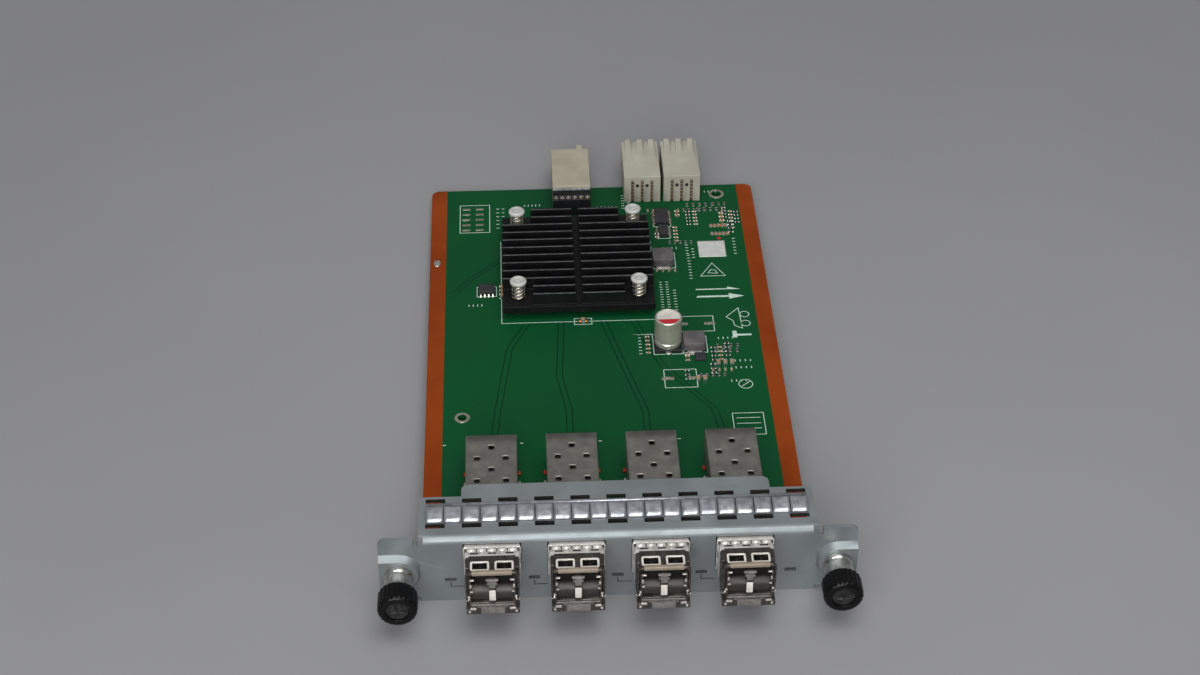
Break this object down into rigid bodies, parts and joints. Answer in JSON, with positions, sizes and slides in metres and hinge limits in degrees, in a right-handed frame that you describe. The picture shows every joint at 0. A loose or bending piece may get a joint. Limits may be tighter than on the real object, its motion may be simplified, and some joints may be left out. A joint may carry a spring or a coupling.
{
  "type": "switch line card",
  "caption": "Hot-swap line card for a network switch: folded front panel with captive thumb screws, pluggable optical transceivers in cages, heatsink and backplane connectors",
  "frame": {"origin": "midway between the two thumb screws, in the plane of the front panel's back face, which seats on the chassis", "axes": "+X along the panel to the right seen from the front, +Y the way the card is pushed in, +Z to the component side"},
  "size_m": [0.125, 0.2024, 0.0237],
  "materials": {
    "zinc_sheet": "satin",
    "spring_steel": "bright",
    "board_laminate": "satin",
    "bare_strip": "satin",
    "nickel": "bright",
    "lamp_lens": "gloss",
    "black_plastic": "matte",
    "die_cast": "satin",
    "ceramic_white": "gloss",
    "grip_beige": "satin",
    "black_anodised": "satin",
    "pin_white": "satin",
    "pad_grey": "matte",
    "housing_beige": "satin",
    "header_white": "satin",
    "can_aluminium": "satin",
    "tinned": "bright",
    "chip_tan": "matte",
    "label_white": "matte",
    "ferrite": "satin"
  },
  "bodies": {
    "card": {"board_brackets": "zinc_sheet", "board_label": "label_white", "bracket_screws": "nickel", "cage_1": "spring_steel", "cage_2": "spring_steel", "cage_3": "spring_steel", "cage_4": "spring_steel", "cage_collars": "spring_steel", "capacitor_base": "black_plastic", "capacitor_can": "can_aluminium", "chip_bodies": "black_plastic", "chip_capacitors": "chip_tan", "chip_leads": "tinned", "chip_resistors": "black_plastic", "circuit_board": "board_laminate", "edge_strips": "bare_strip", "emi_gasket": "spring_steel", "front_panel": "zinc_sheet", "heatsink": "black_anodised", "host_connectors": "black_plastic", "inductors": "ferrite", "left_ferrule": "nickel", "power_headers": "header_white", "power_leads": "tinned", "push_pin_springs": "nickel", "push_pins": "pin_white", "right_ferrule": "nickel", "signal_contacts": "tinned", "signal_housing": "housing_beige", "signal_wafers": "black_plastic", "status_lamps": "lamp_lens", "switch_chip": "black_plastic", "thermal_pad": "pad_grey"},
    "transceiver_1": {"transceiver_shell_1": "die_cast", "transceiver_board_1": "board_laminate", "optical_barrels_1": "ceramic_white"},
    "bail_arm_1": {"bail_1": "die_cast", "bail_grip_1": "grip_beige"},
    "transceiver_2": {"transceiver_shell_2": "die_cast", "transceiver_board_2": "board_laminate", "optical_barrels_2": "ceramic_white"},
    "bail_arm_2": {"bail_2": "die_cast", "bail_grip_2": "grip_beige"},
    "transceiver_3": {"transceiver_shell_3": "die_cast", "transceiver_board_3": "board_laminate", "optical_barrels_3": "ceramic_white"},
    "bail_arm_3": {"bail_3": "die_cast", "bail_grip_3": "grip_beige"},
    "transceiver_4": {"transceiver_shell_4": "die_cast", "transceiver_board_4": "board_laminate", "optical_barrels_4": "ceramic_white"},
    "bail_arm_4": {"bail_4": "die_cast", "bail_grip_4": "grip_beige"},
    "left_carriage": {"left_screw_spring": "nickel"},
    "left_screw": {"left_knob": "black_plastic", "left_thumb_screw": "nickel"},
    "right_carriage": {"right_screw_spring": "nickel"},
    "right_screw": {"right_knob": "black_plastic", "right_thumb_screw": "nickel"}
  },
  "joints": [
    {"name": "transceiver_1_slide", "type": "slide", "parent": "card", "child": "transceiver_1", "axis": [0, -1, 0], "range_m": [0, 0.045]},
    {"name": "bail_1_swing", "type": "hinge", "parent": "transceiver_1", "child": "bail_arm_1", "pos_m": [-0.03285, -0.0129, 0.0007], "axis": [1, 0, 0], "range_deg": [0, 90]},
    {"name": "transceiver_2_slide", "type": "slide", "parent": "card", "child": "transceiver_2", "axis": [0, -1, 0], "range_m": [0, 0.045]},
    {"name": "bail_2_swing", "type": "hinge", "parent": "transceiver_2", "child": "bail_arm_2", "pos_m": [-0.01095, -0.0129, 0.0007], "axis": [1, 0, 0], "range_deg": [0, 90]},
    {"name": "transceiver_3_slide", "type": "slide", "parent": "card", "child": "transceiver_3", "axis": [0, -1, 0], "range_m": [0, 0.045]},
    {"name": "bail_3_swing", "type": "hinge", "parent": "transceiver_3", "child": "bail_arm_3", "pos_m": [0.01095, -0.0129, 0.0007], "axis": [1, 0, 0], "range_deg": [0, 90]},
    {"name": "transceiver_4_slide", "type": "slide", "parent": "card", "child": "transceiver_4", "axis": [0, -1, 0], "range_m": [0, 0.045]},
    {"name": "bail_4_swing", "type": "hinge", "parent": "transceiver_4", "child": "bail_arm_4", "pos_m": [0.03285, -0.0129, 0.0007], "axis": [1, 0, 0], "range_deg": [0, 90]},
    {"name": "left_screw_press", "type": "slide", "parent": "card", "child": "left_carriage", "axis": [0, 1, 0], "range_m": [0, 0.0037], "stiffness_N_per_m": 150, "springref_m": -0.003, "deforming": ["left_screw_spring"]},
    {"name": "left_screw_turn", "type": "hinge", "parent": "left_carriage", "child": "left_screw", "pos_m": [-0.0573, 0, 0], "axis": [0, 1, 0], "continuous": true},
    {"name": "right_screw_press", "type": "slide", "parent": "card", "child": "right_carriage", "axis": [0, 1, 0], "range_m": [0, 0.0037], "stiffness_N_per_m": 150, "springref_m": -0.003, "deforming": ["right_screw_spring"]},
    {"name": "right_screw_turn", "type": "hinge", "parent": "right_carriage", "child": "right_screw", "pos_m": [0.0573, 0, 0], "axis": [0, 1, 0], "continuous": true}
  ]
}
